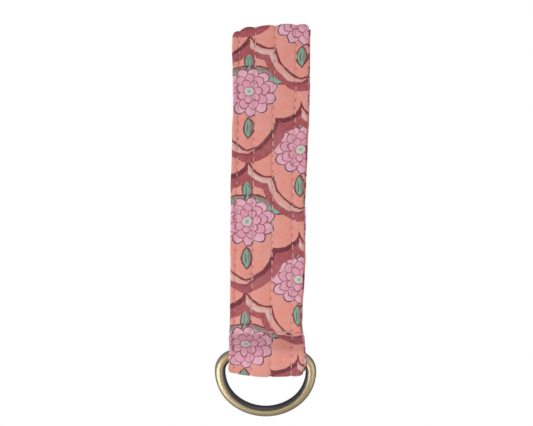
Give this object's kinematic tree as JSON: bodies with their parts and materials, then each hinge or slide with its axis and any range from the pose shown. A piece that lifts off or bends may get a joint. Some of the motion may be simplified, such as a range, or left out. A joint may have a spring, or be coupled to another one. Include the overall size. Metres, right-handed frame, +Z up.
{
  "type": "wristlet keychain",
  "caption": "Flat wrist loop key fob: a quilted cotton strap folded in half and seamed at its lower end round the bar of a brass D-ring.",
  "frame": {"origin": "centre of the bounding box in X and Y, on the surface that the keychain lies on", "axes": "+X across the strap, +Y along the strap from the D-ring to the top fold, +Z up through the front face"},
  "size_m": [0.0396, 0.1536, 0.0088],
  "materials": {
    "printed_cotton": "plain-weave cotton with a floral scallop print, quilted by lengthwise topstitching",
    "interfacing": "off-white fusible interfacing, matt",
    "thread": "pale peach spun polyester sewing thread",
    "brass_ring": "antique brass plate, brushed bright outside and darkened inside the ring"
  },
  "bodies": {
    "pocket": {"pocket_cover": "printed_cotton", "pocket_interfacing": "interfacing", "pocket_topstitch": "thread", "cross_seam": "thread", "join_seam": "thread"},
    "front_low": {"front_low_cover": "printed_cotton", "front_low_interfacing": "interfacing", "front_low_topstitch": "thread"},
    "front_mid": {"front_mid_cover": "printed_cotton", "front_mid_interfacing": "interfacing", "front_mid_topstitch": "thread"},
    "front_high": {"front_high_cover": "printed_cotton", "front_high_interfacing": "interfacing", "front_high_topstitch": "thread"},
    "top_fold": {"top_fold_cover": "printed_cotton", "top_fold_interfacing": "interfacing", "top_fold_topstitch": "thread"},
    "back_high": {"back_high_cover": "printed_cotton", "back_high_interfacing": "interfacing", "back_high_topstitch": "thread"},
    "back_mid": {"back_mid_cover": "printed_cotton", "back_mid_interfacing": "interfacing", "back_mid_topstitch": "thread"},
    "back_low": {"back_low_cover": "printed_cotton", "back_low_interfacing": "interfacing", "back_low_topstitch": "thread"},
    "ring": {"d_ring": "brass_ring"}
  },
  "joints": [
    {"name": "ring_swing", "type": "hinge", "parent": "pocket", "child": "ring", "pos_m": [0, -0.05256, 0.0044], "axis": [1, 0, 0], "range_deg": [-150, 130]},
    {"name": "loop_open", "type": "hinge", "parent": "pocket", "child": "front_low", "pos_m": [0, -0.04166, 0.0026], "axis": [1, 0, 0], "range_deg": [0, 50]},
    {"name": "front_bend_low", "type": "hinge", "parent": "front_low", "child": "front_mid", "pos_m": [0, -0.00566, 0.0026], "axis": [1, 0, 0], "range_deg": [-50, 0]},
    {"name": "front_bend_high", "type": "hinge", "parent": "front_mid", "child": "front_high", "pos_m": [0, 0.03794, 0.0026], "axis": [1, 0, 0], "range_deg": [-50, 0]},
    {"name": "front_fold", "type": "hinge", "parent": "front_high", "child": "top_fold", "pos_m": [0, 0.07394, 0.0026], "axis": [1, 0, 0], "range_deg": [0, 50]},
    {"name": "back_fold", "type": "hinge", "parent": "top_fold", "child": "back_high", "pos_m": [0, 0.07394, 0.0008], "axis": [1, 0, 0], "range_deg": [0, 50]},
    {"name": "back_bend_high", "type": "hinge", "parent": "back_high", "child": "back_mid", "pos_m": [0, 0.03794, 0.0008], "axis": [1, 0, 0], "range_deg": [-50, 0]},
    {"name": "back_bend_low", "type": "hinge", "parent": "back_mid", "child": "back_low", "pos_m": [0, -0.00566, 0.0008], "axis": [1, 0, 0], "range_deg": [-50, 0]}
  ],
  "couplings": [
    {"joint": "front_bend_low", "follows": "loop_open", "ratio": -1},
    {"joint": "front_bend_high", "follows": "loop_open", "ratio": -1},
    {"joint": "front_fold", "follows": "loop_open", "ratio": 1},
    {"joint": "back_fold", "follows": "loop_open", "ratio": 1},
    {"joint": "back_bend_high", "follows": "loop_open", "ratio": -1},
    {"joint": "back_bend_low", "follows": "loop_open", "ratio": -1}
  ]
}
